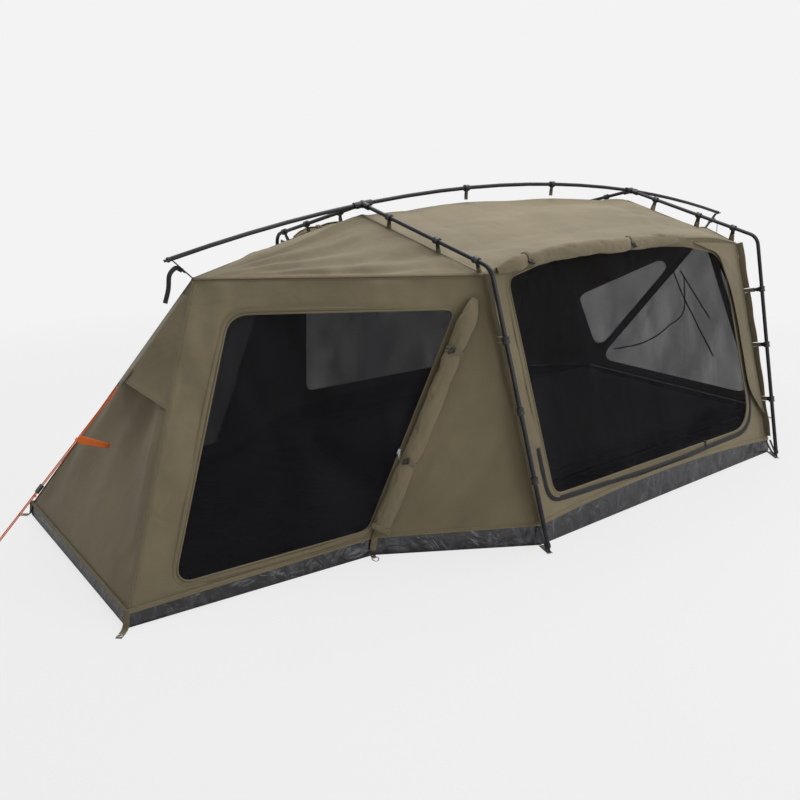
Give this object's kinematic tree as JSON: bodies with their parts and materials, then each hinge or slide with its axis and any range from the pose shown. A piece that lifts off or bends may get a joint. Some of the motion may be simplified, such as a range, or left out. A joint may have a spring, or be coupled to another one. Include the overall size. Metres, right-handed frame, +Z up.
{
  "type": "swag tent",
  "caption": "Pitched canvas swag tent: tub floor, two hooped poles under a ridge pole, tapered vestibule with mesh side doors, rolled window covers and a guyed visor.",
  "frame": {"origin": "on the ground under the floor, midway between the feet of the front hoop", "axes": "+X to the foot end of the bed, +Y to the far side, +Z up"},
  "size_m": [4.0785, 1.9168, 1.2104],
  "materials": {
    "canvas": "matt khaki ripstop canvas",
    "insect_mesh": "black insect mesh",
    "pvc": "glossy dark grey PVC-coated cloth",
    "pole": "satin dark grey anodised tube",
    "black_plastic": "moulded black plastic",
    "webbing": "black woven webbing",
    "zinc": "zinc-plated steel",
    "rope": "orange braided cord",
    "flag": "orange marker ribbon",
    "mattress_cover": "dark grey mattress cover"
  },
  "bodies": {
    "tent": {"floor_tub": "pvc", "mattress": "mattress_cover", "roof_front": "canvas", "roof_main": "canvas", "roof_rear": "canvas", "wall_front_near": "canvas", "wall_front_far": "canvas", "wall_main_near": "canvas", "wall_main_far": "canvas", "wall_rear_near": "canvas", "wall_rear_far": "canvas", "end_front": "canvas", "end_rear": "canvas", "visor": "canvas", "window_mesh_near": "insect_mesh", "window_mesh_far": "insect_mesh", "rear_mesh_near": "insect_mesh", "rear_mesh_far": "insect_mesh", "end_mesh": "insect_mesh", "door_roll_near": "canvas", "door_roll_far": "canvas", "window_roll_near": "canvas", "window_roll_far": "canvas", "ridge_front": "pole", "ridge_mid": "pole", "ridge_rear": "pole", "hub_front": "black_plastic", "hub_rear": "black_plastic", "rafter_front_near": "pole", "rafter_front_far": "pole", "rafter_rear_near": "pole", "rafter_rear_far": "pole", "leg_front_near": "pole", "leg_front_far": "pole", "leg_rear_near": "pole", "leg_rear_far": "pole", "ridge_cap_front": "black_plastic", "ridge_cap_rear": "black_plastic", "peak_strap_front": "webbing", "peak_strap_rear": "webbing", "foot_ring_front_near": "zinc", "foot_ring_front_far": "zinc", "foot_ring_rear_near": "zinc", "foot_ring_rear_far": "zinc", "guy_rope": "rope", "guy_flag": "flag", "guy_peg": "zinc"},
    "near_door": {"door_mesh_near": "insect_mesh"},
    "near_door_slider": {"door_slider_near": "zinc"},
    "near_door_pull": {"door_pull_near": "zinc"},
    "near_window_slider": {"window_slider_near": "zinc"},
    "near_window_pull": {"window_pull_near": "zinc"},
    "near_peg_ring": {"peg_ring_near": "zinc"},
    "far_door": {"door_mesh_far": "insect_mesh"},
    "far_door_slider": {"door_slider_far": "zinc"},
    "far_door_pull": {"door_pull_far": "zinc"},
    "far_window_slider": {"window_slider_far": "zinc"},
    "far_window_pull": {"window_pull_far": "zinc"},
    "far_peg_ring": {"peg_ring_far": "zinc"},
    "tensioner": {"guy_tensioner": "black_plastic"}
  },
  "joints": [
    {"name": "near_door_swing", "type": "hinge", "parent": "tent", "child": "near_door", "pos_m": [-0.9842, -0.32352, 0.45209], "axis": [-0.4482, -0.3777, -0.8103], "range_deg": [0, 100]},
    {"name": "far_door_swing", "type": "hinge", "parent": "tent", "child": "far_door", "pos_m": [-0.9842, 0.32352, 0.45209], "axis": [0.4482, -0.3777, 0.8103], "range_deg": [0, 100]},
    {"name": "near_door_zip", "type": "slide", "parent": "near_door", "child": "near_door_slider", "axis": [-0.4221, 0.0585, -0.9046], "range_m": [-0.24, 0.24]},
    {"name": "far_door_zip", "type": "slide", "parent": "far_door", "child": "far_door_slider", "axis": [-0.4221, -0.0585, -0.9046], "range_m": [-0.24, 0.24]},
    {"name": "near_door_pull_swing", "type": "hinge", "parent": "near_door_slider", "child": "near_door_pull", "pos_m": [-0.39477, -0.59226, 0.36608], "axis": [-0.949, 0.3153, 0], "range_deg": [0, 150]},
    {"name": "far_door_pull_swing", "type": "hinge", "parent": "far_door_slider", "child": "far_door_pull", "pos_m": [-0.39477, 0.59226, 0.36608], "axis": [0.949, 0.3153, 0], "range_deg": [0, 150]},
    {"name": "near_window_zip", "type": "slide", "parent": "tent", "child": "near_window_slider", "axis": [1, 0.0049, -0.0076], "range_m": [-0.5, 0.25]},
    {"name": "far_window_zip", "type": "slide", "parent": "tent", "child": "far_window_slider", "axis": [1, -0.0049, -0.0076], "range_m": [-0.5, 0.25]},
    {"name": "near_window_pull_swing", "type": "hinge", "parent": "near_window_slider", "child": "near_window_pull", "pos_m": [1.06592, -0.85053, 0.15556], "axis": [-1, -0.0071, 0], "range_deg": [0, 150]},
    {"name": "far_window_pull_swing", "type": "hinge", "parent": "far_window_slider", "child": "far_window_pull", "pos_m": [1.06592, 0.85053, 0.15556], "axis": [1, -0.0071, 0], "range_deg": [0, 150]},
    {"name": "near_peg_ring_swing", "type": "hinge", "parent": "tent", "child": "near_peg_ring", "pos_m": [-0.50747, -0.6009, 0.0042], "axis": [-0.9578, 0.2873, 0], "range_deg": [0, 150]},
    {"name": "far_peg_ring_swing", "type": "hinge", "parent": "tent", "child": "far_peg_ring", "pos_m": [-0.50747, 0.6009, 0.0042], "axis": [0.9578, 0.2873, 0], "range_deg": [0, 150]},
    {"name": "tensioner_slide", "type": "slide", "parent": "tent", "child": "tensioner", "axis": [-0.6998, 0, -0.7143], "range_m": [-0.15, 0.3]}
  ]
}
